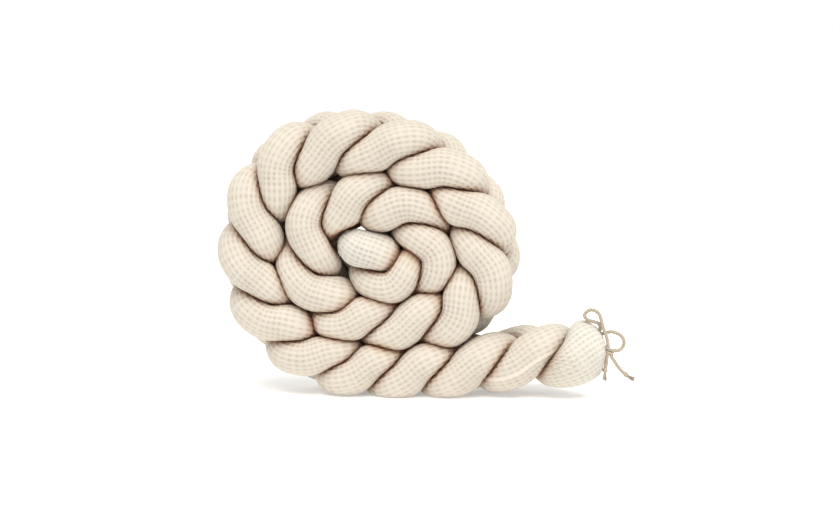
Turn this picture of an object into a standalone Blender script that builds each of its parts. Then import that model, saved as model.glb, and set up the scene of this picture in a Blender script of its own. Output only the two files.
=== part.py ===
"""Braided crib bumper: three stuffed waffle-cotton tubes plaited together and rolled up on edge.

The plait stands on its edge and its middle line is a spiral in the XZ plane. X runs along the
straight tail, Y is the plait's width, and the floor is Z = 0. A strand weaves across the plait's
width (Y) and through its thickness (along the roll's radius). Where two strands press on each
other, each gives way up to the surface halfway between them, as soft stuffed tubes do.
"""

import math

import bmesh
import bpy
import numpy as np
from mathutils import Vector
from mathutils.bvhtree import BVHTree

MM = 0.001

# ---- the roll: where the plait's middle line is at each crossing, tail end first ----
# x: mm along the floor from the coil's middle, z: mm above the floor
CROSSINGS = (
    # x     z
    (320, 71),
    (239, 60),
    (151, 45),
    (70, 41),
    (-5, 44),
    (-75, 65),
    (-139, 113),
    (-173, 186),
    (-171, 267),
    (-135, 338),
    (-63, 376),
    (24, 376),
    (101, 345),
    (154, 284),
    (176, 208),
    (140, 135),
    (62, 112),
    (-20, 116),
    (-80, 159),
    (-90, 247),
    (-27, 293),
    (48, 290),
    (100, 226),
    (47, 178),
    (1, 223),
)
FOOTPRINT_MIDDLE = (64.6, -2.5)  # mm, where the middle of the strands' footprint is in that table

# ---- the plait ----
STRANDS = 3
TUBE_RADIUS = 29.2 * MM  # a strand where nothing presses on it
SWELL = 1.18  # most that a squeezed strand's free sides stand out
FIRMNESS = 6  # how sharply a strand turns flat where it is pressed
WIDTH_SWING = 44.5 * MM  # a strand's swing to each side of the plait's width
EDGE_FLATTENING = 4.5 * MM  # straightens the strand along each edge
DEPTH_SWING = 21.0 * MM  # its swing through the plait's thickness
DEPTH_SHOULDER = -4.0 * MM
DEPTH_RIPPLE = 1.6 * MM
STRAND_ENDS = (  # crossings at which each strand starts and stops
    # tail    inner end
    (-0.36, 24.45),
    (0.05, 24.2),
    (0.15, 24.3),
)
TAIL_TIGHTENING = 0.30  # share by which the straight tail is thinner than the roll
BACK_TIGHTENING = 0.30  # and how much thinner still its back is
TAIL_FROM, TAIL_TO = 1.5, 3.5  # crossings between which that fades
END_GATHERING = 0.70  # how far the sewn end draws the strands together
END_REACH = 0.9  # crossings that it reaches along
END_PLUMPNESS = 0.45  # the first strand's lobe is fuller at the tail's end
END_PLUMP_REACH = 0.5
CAP_LENGTH = 30 * MM

# ---- how the solids are made ----
SIDES = 12
RING_STEP = 36 * MM  # spacing of rings on a straight stretch
BEND_CROWDING = 1.1  # rings stand closer where the strand bends
CAP_ANGLES = (12, 32, 55, 78)  # degrees round each rounded end
STRAND_GAP = 0.8 * MM
CLEARANCE = 0.35 * MM  # between the finished solids
EASING_ROUNDS = 30
EASING_SHARE = 0.6
CROSSING_STEP = 0.8 * MM  # for facets whose edges still cross
EASING_REACH = 12 * MM
OWN_TURN = 2.2  # crossings after which a strand may lie against itself
LINE_STEP = 4 * MM
SMALLEST_RADIUS = 2 * MM
LARGEST_RADIUS = 50 * MM
NEIGHBOURHOOD = 130 * MM
PRESS_SAMPLES = 25

# ---- the tie ----
CORD_DIAMETER = 5.5 * MM
CORD_BEVEL_SIDES = 2
CORD_POINT_STEP = 2.0  # diameters between the points of a cord's tube
# mm, from the sewn end of each cord round its loop to the knot, then from the knot to the tassel
EYE_LOOP = (
    # x     y    z
    (353, -44, 104),
    (350, -45, 112),
    (345, -46, 117),
    (337, -46, 119),
    (330, -46, 122),
    (327, -46, 128),
    (331, -47, 134),
    (339, -48, 136),
    (347, -50, 132),
    (351, -52, 124),
    (354, -54, 112),
    (358, -54, 101),
    (361, -54, 91),
    (362, -54, 83),
)
SIDE_LOOP = (
    (357, -45, 101),
    (364, -46, 103),
    (373, -47, 102),
    (382, -47, 97),
    (386, -47, 88),
    (383, -47, 79),
    (376, -48, 75),
    (371, -49, 75),
)
SHORT_END = ((361, -55, 69), (360, -55, 60), (359, -54, 52))
LONG_END = ((367, -53, 69), (371, -53, 61), (377, -53, 52), (384, -53, 44))
KNOT_CENTRE = (364, -52, 76)
KNOT_RADII = (5.6, 5.2, 6.4)
TASSEL_PROFILE = (  # a stopper knot and the loose fibres below it
    # along  radius, both mm
    (0.0, 2.0),
    (1.5, 4.2),
    (4.0, 4.9),
    (6.5, 3.9),
    (8.5, 2.6),
    (13.0, 3.2),
    (18.0, 4.0),
)
TASSEL_SIDES = 10
SHORT_TASSEL = ((358, -54, 50), (-0.05, 0.0, -1.0))  # top of the stopper knot, and its direction
LONG_TASSEL = ((386, -53, 42), (0.84, 0.0, -0.54))

CREAM = (0.76, 0.70, 0.59, 1.0)
FLAX = (0.52, 0.45, 0.36, 1.0)


def clear_scene():
    for item in list(bpy.data.objects):
        bpy.data.objects.remove(item)


def cotton(name, colour, roughness):
    material = bpy.data.materials.new(name)
    material.use_nodes = True
    shader = material.node_tree.nodes["Principled BSDF"]
    shader.inputs["Base Color"].default_value = colour
    shader.inputs["Roughness"].default_value = roughness
    shader.inputs["Metallic"].default_value = 0.0
    return material


def in_frame(points_mm):
    """Points of the tables above, in metres about the middle of the footprint."""
    middle = np.array((FOOTPRINT_MIDDLE[0], FOOTPRINT_MIDDLE[1], 0.0))
    return (np.array(points_mm, float) - middle) * MM


def smooth_curve(rows):
    """A natural cubic spline through the rows, straight past both ends, as a function of the row number."""
    rows = np.array(rows, float)
    last = len(rows) - 1
    matrix = np.eye(last + 1)
    bend = np.zeros_like(rows)
    for k in range(1, last):
        matrix[k, k - 1 : k + 2] = (1, 4, 1)
        bend[k] = 6 * (rows[k + 1] - 2 * rows[k] + rows[k - 1])
    bend = np.linalg.solve(matrix, bend)
    first_slope = rows[1] - rows[0] - bend[1] / 6
    last_slope = rows[last] - rows[last - 1] + bend[last - 1] / 6

    def at(row):
        row = np.atleast_1d(np.asarray(row, float))
        inside = np.clip(row, 0, last)
        k = np.clip(np.floor(inside).astype(int), 0, last - 1)
        t = (inside - k)[:, None]
        left = 1 - t
        value = left * rows[k] + t * rows[k + 1]
        value += ((left**3 - left) * bend[k] + (t**3 - t) * bend[k + 1]) / 6
        before = np.minimum(row, 0)[:, None]
        after = np.maximum(row - last, 0)[:, None]
        return value + before * first_slope + after * last_slope

    return at


def unit(vectors):
    return vectors / np.linalg.norm(vectors, axis=-1, keepdims=True)


roll_line = smooth_curve(in_frame([(x, 0, z) for x, z in CROSSINGS]))


def strand_line(strand, crossing):
    """Points of one strand's middle line. It meets the front edge where crossing equals strand, plus threes."""
    nudge = 0.05
    along = unit(roll_line(crossing + nudge) - roll_line(crossing - nudge))
    outward = np.stack([-along[:, 2], np.zeros(len(along)), along[:, 0]], axis=1)
    phase = 2 * math.pi * (crossing - strand) / STRANDS
    gathered = 1 - END_GATHERING * np.clip(1 - (crossing + 0.5) / END_REACH, 0, 1) ** 2
    tightening = TAIL_TIGHTENING + BACK_TIGHTENING * (1 - np.cos(phase)) / 2
    slim = 1 - tightening * np.clip((TAIL_TO - crossing) / (TAIL_TO - TAIL_FROM), 0, 1)
    depth = DEPTH_SWING * np.sin(2 * phase) + DEPTH_SHOULDER * np.sin(4 * phase) + DEPTH_RIPPLE * np.sin(6 * phase)
    width = -WIDTH_SWING * np.cos(phase) + EDGE_FLATTENING * np.cos(3 * phase)
    line = roll_line(crossing) + outward * (depth * gathered * slim)[:, None]
    line[:, 1] += width * gathered
    return line


def measured_line(strand, samples=4001):
    """Crossing numbers and lengths along one strand, finely sampled."""
    crossing = np.linspace(*STRAND_ENDS[strand], samples)
    points = strand_line(strand, crossing)
    length = np.concatenate([[0], np.cumsum(np.linalg.norm(np.diff(points, axis=0), axis=1))])
    return crossing, points, length


def even_line(strand):
    crossing, _, length = measured_line(strand)
    stops = np.linspace(0, length[-1], int(length[-1] / LINE_STEP) + 1)
    stops = np.interp(stops, length, crossing)
    return stops, strand_line(strand, stops)


def ring_stops(strand):
    """Lengths along the strand where rings stand: closer on bends, and in steps round each cap."""
    crossing, points, length = measured_line(strand)
    direction = unit(np.gradient(points, axis=0))
    bend = np.linalg.norm(np.gradient(direction, axis=0), axis=1) / np.gradient(length)
    crowding = 1 + BEND_CROWDING * TUBE_RADIUS * bend
    whole = length[-1]
    cap = [CAP_LENGTH * (1 - math.cos(math.radians(a))) for a in CAP_ANGLES]
    inner = (length > cap[-1]) & (length < whole - cap[-1])
    effort = np.concatenate([[0], np.cumsum((crowding[1:] + crowding[:-1]) / 2 * np.diff(length))])
    start, stop = effort[inner][0], effort[inner][-1]
    count = int(round((stop - start) / RING_STEP))
    body = np.interp(np.linspace(start, stop, count + 1)[1:-1], effort, length)
    stops = np.concatenate([cap, body, [whole - c for c in reversed(cap)]])
    return stops, np.interp(stops, length, crossing), whole


def ring_frames(strand, crossing):
    """Direction, sideways and upward vectors of each ring, carried along without twist."""
    reach = 0.12
    along = unit(strand_line(strand, crossing + reach) - strand_line(strand, crossing - reach))
    side = np.array((0.0, -1.0, 0.0))
    sides = []
    for direction in along:
        side = side - direction * (side @ direction)
        side /= np.linalg.norm(side)
        sides.append(side)
    sides = np.array(sides)
    return along, sides, np.cross(along, sides)


def distance_to(points, line):
    squared = (points**2).sum(1)[:, None] + (line**2).sum(1)[None, :] - 2 * points @ line.T
    return np.sqrt(np.maximum(squared.min(1), 0))


def press_limit(centre, directions, mine, others):
    """How far out each direction may go before it is nearer to a neighbour than to its own strand."""
    reach = np.linspace(SMALLEST_RADIUS, LARGEST_RADIUS, PRESS_SAMPLES)
    points = (centre + directions[:, None, :] * reach[None, :, None]).reshape(-1, 3)
    room = distance_to(points, others) - distance_to(points, mine) - STRAND_GAP
    room = room.reshape(len(directions), -1)
    limit = np.full(len(directions), LARGEST_RADIUS)
    for j, row in enumerate(room):
        if row.min() < 0:
            k = int(np.argmax(row < 0))
            limit[j] = reach[0] if k == 0 else np.interp(0, (row[k], row[k - 1]), (reach[k], reach[k - 1]))
    return limit


def softened(limit, radius):
    return (limit**-FIRMNESS + radius**-FIRMNESS) ** (-1 / FIRMNESS)


def ring_radii(limit, radius):
    """Radii of one ring, swollen on its free sides to keep the stuffing's volume."""
    low, high = 0.9 * radius, SWELL * radius
    for _ in range(24):
        middle = (low + high) / 2
        if (softened(limit, middle) ** 2).mean() > radius**2:
            high = middle
        else:
            low = middle
    return softened(limit, (low + high) / 2)


def strand_solid(strand, lines):
    """One strand's points, the middle of the ring that each belongs to, and its triangles."""
    stops, crossing, whole = ring_stops(strand)
    centres = strand_line(strand, crossing)
    _, side, up = ring_frames(strand, crossing)
    angles = np.arange(SIDES) * 2 * math.pi / SIDES
    own_crossing, own = lines[strand]
    rest = np.concatenate([line for k, (_, line) in enumerate(lines) if k != strand])
    rings = []
    for k, centre in enumerate(centres):
        directions = np.cos(angles)[:, None] * side[k] + np.sin(angles)[:, None] * up[k]
        apart = np.abs(own_crossing - crossing[k])
        others = np.concatenate([rest, own[apart > OWN_TURN]])
        others = others[np.linalg.norm(others - centre, axis=1) < NEIGHBOURHOOD]
        limit = press_limit(centre, directions, own[apart < OWN_TURN], others)
        into_cap = np.clip(1 - min(stops[k], whole - stops[k]) / CAP_LENGTH, 0, 1)
        radius = TUBE_RADIUS * math.sqrt(1 - into_cap**2)
        if strand == 0:
            radius *= 1 + END_PLUMPNESS * math.exp(-(((crossing[k] + 0.1) / END_PLUMP_REACH) ** 2))
        rings.append(centre + directions * ring_radii(limit, radius)[:, None])
    tips = strand_line(strand, np.array(STRAND_ENDS[strand]))
    points = np.concatenate([np.concatenate(rings), tips])
    middles = np.concatenate([np.repeat(centres, SIDES, axis=0), tips])
    return points, middles, tube_triangles(len(rings), SIDES)


def tube_triangles(ring_count, sides):
    """Corner numbers of a closed tube's triangles: its rings' points in order, then its two tips."""
    first, last = ring_count * sides, ring_count * sides + 1
    end = (ring_count - 1) * sides
    triangles = []
    for j in range(sides):
        after = (j + 1) % sides
        triangles.append((first, after, j))
        for start in range(0, end, sides):
            here, there = start + j, start + sides + j
            next_here, next_there = start + after, start + sides + after
            triangles += [(here, next_here, next_there), (here, next_there, there)]
        triangles.append((last, end + j, end + after))
    return np.array(triangles)


def on_floor(points):
    """The points with those below the floor laid flat on it."""
    return np.maximum(points, (-math.inf, -math.inf, 0.0))


def shortages(points, triangles, own_tree, other_trees):
    """How much closer than the clearance each corner's facets come to the other strands."""
    corners = points[triangles]
    spots = [corners.mean(1)] + [corners[:, k] for k in range(3)]
    spots += [(corners[:, k] + corners[:, k - 1]) / 2 for k in range(3)]
    short = np.zeros(len(points))
    for spot_set in spots:
        for triangle, spot in zip(triangles, spot_set):
            for tree in other_trees:
                place, normal, _, _ = tree.find_nearest(spot, EASING_REACH)
                if place is None:
                    continue
                room = (Vector(spot) - place).dot(normal)
                if room < CLEARANCE:
                    short[triangle] = np.maximum(short[triangle], CLEARANCE - room)
    for tree in other_trees:
        for crossing, _ in own_tree.overlap(tree):
            short[triangles[crossing]] = np.maximum(short[triangles[crossing]], CROSSING_STEP)
    return short


def ease_apart(solids):
    """Draws the facets of pressed strands in towards their own middles until none meets another strand."""
    for _ in range(EASING_ROUNDS):
        shapes = [(on_floor(points), triangles) for points, _, triangles in solids]
        trees = [BVHTree.FromPolygons(points.tolist(), triangles.tolist()) for points, triangles in shapes]
        worst = 0
        for k, (points, middles, triangles) in enumerate(solids):
            short = shortages(*shapes[k], trees[k], trees[:k] + trees[k + 1 :])
            inward = middles - points
            distance = np.maximum(np.linalg.norm(inward, axis=1), SMALLEST_RADIUS)
            points += inward / distance[:, None] * (EASING_SHARE * short)[:, None]
            worst = max(worst, short.max())
        if worst == 0:
            return


def body(name, points, triangles, material):
    builder = bmesh.new()
    corners = [builder.verts.new(point) for point in on_floor(points)]
    for triangle in triangles:
        builder.faces.new([corners[k] for k in triangle])
    return finish(name, builder, material)


def finish(name, builder, material):
    mesh = bpy.data.meshes.new(name)
    builder.to_mesh(mesh)
    builder.free()
    mesh.shade_smooth()
    mesh.materials.append(material)
    item = bpy.data.objects.new(name, mesh)
    bpy.context.scene.collection.objects.link(item)
    return item


def make_strands(material):
    lines = [even_line(strand) for strand in range(STRANDS)]
    solids = [strand_solid(strand, lines) for strand in range(STRANDS)]
    ease_apart(solids)
    for strand, (points, _, triangles) in enumerate(solids):
        body(f"strand_{strand + 1}", points, triangles, material)


def make_cord(name, route, material):
    """A tube of the cord's diameter along a smooth curve through the route's points."""
    points = in_frame(route)
    curve_at = smooth_curve(points)
    rows = np.linspace(0, len(points) - 1, 400)
    fine = curve_at(rows)
    length = np.concatenate([[0], np.cumsum(np.linalg.norm(np.diff(fine, axis=0), axis=1))])
    count = max(3, int(round(length[-1] / (CORD_POINT_STEP * CORD_DIAMETER))) + 1)
    stops = np.interp(np.linspace(0, length[-1], count), length, rows)
    curve = bpy.data.curves.new(name, "CURVE")
    curve.dimensions = "3D"
    curve.bevel_depth = CORD_DIAMETER / 2
    curve.bevel_resolution = CORD_BEVEL_SIDES
    curve.use_fill_caps = True
    spline = curve.splines.new("POLY")
    spline.points.add(count - 1)
    for point, place in zip(spline.points, curve_at(stops)):
        point.co = (*place, 1.0)
    curve.materials.append(material)
    item = bpy.data.objects.new(name, curve)
    bpy.context.scene.collection.objects.link(item)


def make_knot(name, centre, radii, material):
    builder = bmesh.new()
    bmesh.ops.create_uvsphere(builder, u_segments=12, v_segments=8, radius=1.0)
    bmesh.ops.scale(builder, vec=Vector(radii) * MM, verts=builder.verts)
    item = finish(name, builder, material)
    item.location = in_frame(centre)


def make_tassel(name, place, material):
    """A stopper knot with the cord's loose fibres below it, turned about its own axis."""
    top, direction = place
    axis = Vector(direction).normalized()
    turned = axis.to_track_quat("Z", "X").to_matrix()
    angles = np.arange(TASSEL_SIDES) * 2 * math.pi / TASSEL_SIDES
    origin = Vector(in_frame(top))
    points = []
    for along, radius in TASSEL_PROFILE:
        ring = [Vector((radius * math.cos(a), radius * math.sin(a), along)) * MM for a in angles]
        points += [origin + turned @ point for point in ring]
    points += [origin, origin + axis * TASSEL_PROFILE[-1][0] * MM]
    body(name, np.array(points), tube_triangles(len(TASSEL_PROFILE), TASSEL_SIDES), material)


def make_tie(material):
    make_cord("tie_eye_loop", EYE_LOOP, material)
    make_cord("tie_side_loop", SIDE_LOOP, material)
    make_cord("tie_short_end", SHORT_END, material)
    make_cord("tie_long_end", LONG_END, material)
    make_knot("tie_knot", KNOT_CENTRE, KNOT_RADII, material)
    make_tassel("tie_short_tassel", SHORT_TASSEL, material)
    make_tassel("tie_long_tassel", LONG_TASSEL, material)


def main():
    clear_scene()
    make_strands(cotton("waffle cotton", CREAM, 0.9))
    make_tie(cotton("twisted cotton cord", FLAX, 0.85))


main()
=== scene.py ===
"""Looks of a braided crib bumper: three stuffed waffle-cotton strands, plaited and rolled up on edge,
with a twisted cotton cord tied in a bow at the tail's end.

The strands repeat the part's plait in fine cloth: each is a tube of woven cells, pressed flat where it
meets its neighbours, with its lengthwise seam, its gathered ends and the creases of its bends.
"""

import math

import bpy
import numpy as np
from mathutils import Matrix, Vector, noise
from mathutils.bvhtree import BVHTree


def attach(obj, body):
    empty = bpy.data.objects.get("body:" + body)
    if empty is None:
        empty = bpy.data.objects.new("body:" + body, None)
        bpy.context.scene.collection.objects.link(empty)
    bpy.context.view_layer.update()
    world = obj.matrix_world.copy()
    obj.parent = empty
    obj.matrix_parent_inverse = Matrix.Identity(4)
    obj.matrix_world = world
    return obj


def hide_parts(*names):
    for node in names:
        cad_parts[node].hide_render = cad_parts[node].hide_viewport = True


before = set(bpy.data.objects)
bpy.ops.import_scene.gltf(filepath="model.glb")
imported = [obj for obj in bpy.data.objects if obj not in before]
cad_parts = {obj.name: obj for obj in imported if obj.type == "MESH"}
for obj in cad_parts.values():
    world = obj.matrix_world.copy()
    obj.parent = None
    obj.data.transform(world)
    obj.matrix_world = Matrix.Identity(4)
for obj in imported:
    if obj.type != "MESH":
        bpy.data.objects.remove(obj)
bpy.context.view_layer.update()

MM = 0.001

# ---- the roll: the plait's middle line at each crossing, tail end first, as in the part ----
# x: mm along the floor from the coil's middle, z: mm above the floor
CROSSINGS = (
    # x     z
    (320, 71),
    (239, 60),
    (151, 45),
    (70, 41),
    (-5, 44),
    (-75, 65),
    (-139, 113),
    (-173, 186),
    (-171, 267),
    (-135, 338),
    (-63, 376),
    (24, 376),
    (101, 345),
    (154, 284),
    (176, 208),
    (140, 135),
    (62, 112),
    (-20, 116),
    (-80, 159),
    (-90, 247),
    (-27, 293),
    (48, 290),
    (100, 226),
    (47, 178),
    (1, 223),
)
FOOTPRINT_MIDDLE = (64.6, -2.5)  # mm, the middle of the strands' footprint in that table

# ---- the plait: its lines are the part's, and its tubes are a little fuller, with sharper creases ----
STRANDS = 3
TUBE_RADIUS = 27.8 * MM
FILLING_OUT = 1.07  # how much fuller a strand is where nothing presses on it
SWELL = 1.24  # most that a squeezed strand's free sides stand out
FIRMNESS = 8  # how sharply a strand turns flat where it is pressed
WIDTH_SWING = 44.5 * MM  # a strand's swing to each side of the plait's width
EDGE_FLATTENING = 4.5 * MM  # straightens the strand along each edge
DEPTH_SWING = 21.0 * MM  # its swing through the plait's thickness
DEPTH_SHOULDER = -4.0 * MM
DEPTH_RIPPLE = 1.6 * MM
STRAND_ENDS = (
    # tail    inner end
    (-0.36, 24.45),
    (0.05, 24.2),
    (0.15, 24.3),
)
TAIL_TIGHTENING = 0.30  # how much thinner the plait is along its tail
BACK_TIGHTENING = 0.30  # and how much thinner again at its back
TAIL_FROM, TAIL_TO = 1.5, 3.5  # crossings between which that fades
END_GATHERING = 0.70  # how far the strands are drawn together at the tail's end
END_REACH = 0.9
END_PLUMPNESS = 0.50  # how much fuller the first strand's end lobe is
END_PLUMP_REACH = 0.5
CAP_LENGTH = 30 * MM  # of each strand's rounded ends

# ---- the waffle weave ----
# size of a waffle cell along each strand, and cells round it, about 7.4 mm each
CELL = (7.2 * MM, 7.0 * MM, 7.0 * MM)
CELLS_ROUND = (24, 25, 25)
CELL_STOPS = (0.0, 1 / 3, 2 / 3)  # in each cell: the ridge, then the two edges of the pit's floor
FULL_END = 0.62  # crossing up to which the first strand's full end lobe takes half as many cells again
CELL_DEPTH = 2.3 * MM
YARNS = 12  # to a cell each way, of about 0.6 mm
LENGTHWISE_DIP, CROSSWISE_DIP = 0.05, 0.34  # how low the ridges are beside a pit, as shares of its depth
WEAVE_DRIFT = 2.0 * MM  # how far rows of cells wander
WEAVE_DRIFT_SCALE = 42 * MM

# ---- pressing ----
PRESS_SIDES = 42
STRAND_GAP = 0.8 * MM
OWN_TURN = 2.2  # crossings after which a strand may lie against itself
SMALLEST_RADIUS = 2 * MM
LARGEST_RADIUS = 50 * MM
WIDEST_LIMIT = 36 * MM
NEIGHBOURHOOD = 130 * MM
PRESS_SAMPLES = 25
LINE_STEP = 4 * MM
CREASE_SHADE = (0.035, 0.28)  # how hard the cloth is pressed where a crease's painted shade starts and is full
SHADE_CLEAR = (30 * MM, 90 * MM)  # from a strand's end, where that painted shade may start and is full
STILLED = (0.06, 0.20)  # how hard the cloth is pressed where its lumps and drift fade and are gone
FLOOR_EASE = 5 * MM  # height below which the cloth settles onto the floor

# ---- stuffing, creases and seams ----
LUMP_HEIGHT = 2.0 * MM
LUMP_SCALE = 46 * MM
WRINKLE_HEIGHT = 1.5 * MM
WRINKLE_LENGTH = 10.5 * MM
WRINKLE_FROM, WRINKLE_TO = 0.42, 0.85  # how strongly the cloth is shortened where creases start and are full
GATHER_HEIGHT = 0.9 * MM
GATHER_FOLDS = 15
GATHER_REACH = 60 * MM
PLEAT_FAN = (242, 0, 66)  # mm, where the pleats of the tail's end lobe would meet
PLEATS = 66.0  # in a full turn
PLEAT_WANDER = 7.0  # radians by which they stray
PLEAT_REACH = 62 * MM
PLEAT_EDGES = ((-0.75, -0.45), (0.30, 0.05))  # radians: where the fan's two edges fade in
PLEAT_START = (22 * MM, 30 * MM)  # how far to the right of its middle the fan fades in
SEAM_HEIGHT = 1.1 * MM
SEAM_HALF_WIDTH = 1.9 * MM
SEAM_HIGHLIGHT = (2.2, 0.8)  # half widths from the seam where its painted highlight, paler cloth on the seam ridge, starts and is full
SEAM_TURN = (0.9, 4.0)  # crossings between which a seam goes from its first angle to its second
PUCKER_STEP = 5.5 * MM
PUCKER_DEPTH = 0.8 * MM
PUCKER_REACH = 9 * MM
# angle of each strand's seam from the front edge, degrees, at the tail and from the fourth crossing on
SEAM_ANGLES = ((180, 180), (0, 180), (180, 180))

# ---- ladder stitches across creases: first and last place (x, z in mm) and how many ----
LADDERS = (
    ((216, 82), (203, 67), 4),
    ((198, 60), (183, 42), 6),
)
STITCH_LENGTH = 6 * MM
STITCH_LEAN = 0.25  # most that a stitch slants, as a share of its length
THREAD_RADIUS = 0.5 * MM

# ---- the tie, as in the part: mm, from the sewn end of each cord round its loop to the knot ----
# only the first point of each loop is moved, to just under the lobe's cloth
CORD_DIAMETER = 5.5 * MM
EYE_LOOP = (
    # x     y    z
    (349, -47, 99),
    (350, -45, 112),
    (345, -46, 117),
    (337, -46, 119),
    (330, -46, 122),
    (327, -46, 128),
    (331, -47, 134),
    (339, -48, 136),
    (347, -50, 132),
    (351, -52, 124),
    (354, -54, 112),
    (358, -54, 101),
    (361, -54, 91),
    (362, -54, 83),
)
SIDE_LOOP = (
    (348, -45, 98),
    (364, -46, 103),
    (373, -47, 102),
    (382, -47, 97),
    (386, -47, 88),
    (383, -47, 79),
    (376, -48, 75),
    (371, -49, 75),
)
SHORT_END = ((361, -55, 69), (360, -55, 60), (359, -54, 52))
LONG_END = ((367, -53, 69), (371, -53, 61), (377, -53, 52), (384, -53, 44))
KNOT_CENTRE = (364, -52, 76)
IN_KNOT = (-1.6 * MM, -0.8 * MM, 0)  # from the knot's middle to where the left cord passes it
SHORT_TASSEL = ((358, -54, 50), (-0.05, 0.0, -1.0))
LONG_TASSEL = ((386, -53, 42), (0.84, 0.0, -0.54))
STOPPER_DEPTH = 4.0 * MM
PLIES = 3
PLY_PITCH = 13 * MM
CORD_RING_STEP = 0.9 * MM
CORD_SIDES = 18

# ---- the camera ----
CAMERA_AZIMUTH = 4.0
CAMERA_ELEVATION = 6.0
CAMERA_DISTANCE = 2.4
CAMERA_AIM = (0.0172, -0.0646, 0.2082)
FRAME_WIDTH = 1.249  # metres across the frame at the aim
SENSOR = 36.0

# ---- the light ----
KEY_LIGHT = 3.3
BACK_LIGHT = 0.45
WALL_LIGHT = 1.01
CEILING_LIGHT = 0.50
WALL_TOP = (0.08, 0.32)  # heights, as sines of the angle above the floor, where wall turns to ceiling


# ---------------------------------------------------------------- curves and strands


def in_frame(points_mm):
    middle = np.array((FOOTPRINT_MIDDLE[0], FOOTPRINT_MIDDLE[1], 0.0))
    return (np.array(points_mm, float) - middle) * MM


def unit(vectors):
    return vectors / np.linalg.norm(vectors, axis=-1, keepdims=True)


def smoothstep(low, high, value):
    t = np.clip((value - low) / (high - low), 0, 1)
    return t * t * (3 - 2 * t)


def smooth_curve(rows):
    """A natural cubic spline through the rows, straight past both ends, as a function of the row number."""
    rows = np.array(rows, float)
    last = len(rows) - 1
    matrix = np.eye(last + 1)
    bend = np.zeros_like(rows)
    for k in range(1, last):
        matrix[k, k - 1 : k + 2] = (1, 4, 1)
        bend[k] = 6 * (rows[k + 1] - 2 * rows[k] + rows[k - 1])
    bend = np.linalg.solve(matrix, bend)
    first_slope = rows[1] - rows[0] - bend[1] / 6
    last_slope = rows[last] - rows[last - 1] + bend[last - 1] / 6

    def at(row):
        row = np.atleast_1d(np.asarray(row, float))
        inside = np.clip(row, 0, last)
        k = np.clip(np.floor(inside).astype(int), 0, last - 1)
        t = (inside - k)[:, None]
        left = 1 - t
        value = left * rows[k] + t * rows[k + 1]
        value += ((left**3 - left) * bend[k] + (t**3 - t) * bend[k + 1]) / 6
        before = np.minimum(row, 0)[:, None]
        after = np.maximum(row - last, 0)[:, None]
        return value + before * first_slope + after * last_slope

    return at


roll_line = smooth_curve(in_frame([(x, 0, z) for x, z in CROSSINGS]))


def strand_line(strand, crossing):
    """Points of a strand's middle line. Every third crossing, from its own number on, is at the front."""
    nudge = 0.05
    along = unit(roll_line(crossing + nudge) - roll_line(crossing - nudge))
    outward = np.stack([-along[:, 2], np.zeros(len(along)), along[:, 0]], axis=1)
    phase = 2 * math.pi * (crossing - strand) / STRANDS
    gathered = 1 - END_GATHERING * np.clip(1 - (crossing + 0.5) / END_REACH, 0, 1) ** 2
    tightening = TAIL_TIGHTENING + BACK_TIGHTENING * (1 - np.cos(phase)) / 2
    slim = 1 - tightening * np.clip((TAIL_TO - crossing) / (TAIL_TO - TAIL_FROM), 0, 1)
    depth = DEPTH_SWING * np.sin(2 * phase) + DEPTH_SHOULDER * np.sin(4 * phase)
    depth += DEPTH_RIPPLE * np.sin(6 * phase)
    width = -WIDTH_SWING * np.cos(phase) + EDGE_FLATTENING * np.cos(3 * phase)
    line = roll_line(crossing) + outward * (depth * gathered * slim)[:, None]
    line[:, 1] += width * gathered
    return line


def lengths_along(points):
    return np.concatenate([[0], np.cumsum(np.linalg.norm(np.diff(points, axis=0), axis=1))])


def measured_line(strand, samples=6001):
    crossing = np.linspace(*STRAND_ENDS[strand], samples)
    return crossing, lengths_along(strand_line(strand, crossing))


def even_line(strand):
    crossing, length = measured_line(strand)
    stops = np.linspace(0, length[-1], int(length[-1] / LINE_STEP) + 1)
    stops = np.interp(stops, length, crossing)
    return stops, strand_line(strand, stops)


def cell_lattice(cells):
    """Places of the weave's corners, in cells: the ridge and both edges of the pit, cell after cell."""
    return (np.arange(cells)[:, None] + np.array(CELL_STOPS)[None, :]).ravel()


def ring_rows(strand):
    """The strand's rings: their place in cells, length along the middle line and crossing number.

    They are evenly spaced over the skin, so they crowd along the line where the skin turns round a cap.
    """
    crossing, length = measured_line(strand)
    whole = length[-1]
    quarter = CAP_LENGTH * math.pi / 2
    skin = whole - 2 * CAP_LENGTH + 2 * quarter
    cells = int(round(skin / CELL[strand]))
    rows = cell_lattice(cells)[1:]
    over = rows / cells * skin
    left = skin - over
    stops = over - quarter + CAP_LENGTH
    stops = np.where(over < quarter, CAP_LENGTH * (1 - np.cos(over / CAP_LENGTH)), stops)
    stops = np.where(left < quarter, whole - CAP_LENGTH * (1 - np.cos(left / CAP_LENGTH)), stops)
    return rows, stops, np.interp(stops, length, crossing), whole


def untwisted(along):
    """Sideways and upward vectors for each direction, carried along without twist."""
    side = np.array((0.0, -1.0, 0.0))
    sides = []
    for direction in along:
        side = side - direction * (side @ direction)
        side = side / math.sqrt(side @ side)
        sides.append(side)
    sides = np.array(sides)
    return sides, np.cross(along, sides)

def ring_frames(strand, crossing):
    """Direction, sideways and upward vectors of each ring."""
    reach = 0.12
    along = unit(strand_line(strand, crossing + reach) - strand_line(strand, crossing - reach))
    return (along, *untwisted(along))

def blur(grid, passes, along=True, around=True):
    for _ in range(passes):
        if around:
            grid = (np.roll(grid, 1, 1) + np.roll(grid, -1, 1) + 2 * grid) / 4
        if along:
            inner = (grid[:-2] + grid[2:] + 2 * grid[1:-1]) / 4
            grid = np.concatenate([grid[:1], inner, grid[-1:]])
    return grid


# ---------------------------------------------------------------- pressing the strands together


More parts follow.
